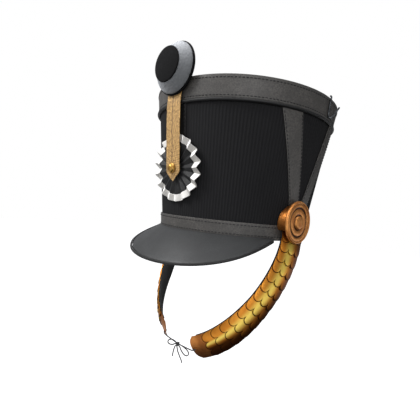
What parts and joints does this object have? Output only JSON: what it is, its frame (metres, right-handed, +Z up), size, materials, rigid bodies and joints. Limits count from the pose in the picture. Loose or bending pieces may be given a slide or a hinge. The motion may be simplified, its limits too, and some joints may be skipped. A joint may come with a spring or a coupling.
{
  "type": "shako hat",
  "caption": "Bell-topped shako with leather bands, peak, side chevrons, cockade, loop, pompon and a scaled chin strap tied by laces.",
  "frame": {"origin": "middle of the head opening, in the plane of the crown's lower edge", "axes": "+Z up through the crown, the front of the hat faces -Y, the wearer's left is +X"},
  "size_m": [0.2416, 0.2684, 0.3706],
  "materials": {
    "felt_cloth": "fine ribbed black wool cloth",
    "band_leather": "satin dark grey leather",
    "dark_leather": "black leather and silk",
    "peak_leather": "smooth blue-black leather",
    "white_ribbon": "white ribbon",
    "gold_braid": "woven gold braid",
    "brass": "polished, toned",
    "copper": "reddish, toned",
    "black_felt": "black felt",
    "grey_felt": "pale grey wool felt",
    "steel_wire": "grey wire",
    "lace_cord": "dark round lace"
  },
  "bodies": {
    "root": {"crown_wall": "felt_cloth", "crown_top": "felt_cloth", "top_band": "band_leather", "base_band": "band_leather", "top_band_welt": "dark_leather", "peak": "peak_leather", "peak_binding": "dark_leather", "side_chevron_left": "band_leather", "side_chevron_right": "band_leather", "front_strip": "band_leather", "cockade_disc": "dark_leather", "cockade_border": "white_ribbon", "cockade_loop": "gold_braid", "cockade_button": "brass", "pompon_back": "black_felt", "pompon_body": "grey_felt", "pompon_front": "black_felt", "pompon_stem": "steel_wire", "band_hook": "steel_wire", "chin_strap_leather_left": "dark_leather", "chin_strap_leather_right": "dark_leather", "chin_scale_left_01": "brass", "chin_scale_left_02": "brass", "chin_scale_left_03": "brass", "chin_scale_left_04": "brass", "chin_scale_left_05": "brass", "chin_scale_left_06": "brass", "chin_scale_left_07": "brass", "chin_scale_left_08": "brass", "chin_scale_left_09": "brass", "chin_scale_left_10": "brass", "chin_scale_left_11": "brass", "chin_scale_left_12": "brass", "chin_scale_left_13": "brass", "chin_scale_right_01": "brass", "chin_scale_right_02": "brass", "chin_scale_right_03": "brass", "chin_scale_right_04": "brass", "chin_scale_right_05": "brass", "chin_scale_right_06": "brass", "chin_scale_right_07": "brass", "chin_scale_right_08": "brass", "chin_scale_right_09": "brass", "chin_scale_right_10": "brass", "chin_scale_right_11": "brass", "chin_scale_right_12": "brass", "chin_scale_right_13": "brass", "chin_end_plate_left": "copper", "chin_end_plate_right": "copper", "rosette_left": "copper", "rosette_right": "copper", "lace_leg_left": "lace_cord", "lace_leg_right": "lace_cord", "lace_loop_left": "lace_cord", "lace_loop_right": "lace_cord", "lace_tail_left": "lace_cord", "lace_tail_right": "lace_cord", "lace_knot": "lace_cord"}
  },
  "joints": []
}
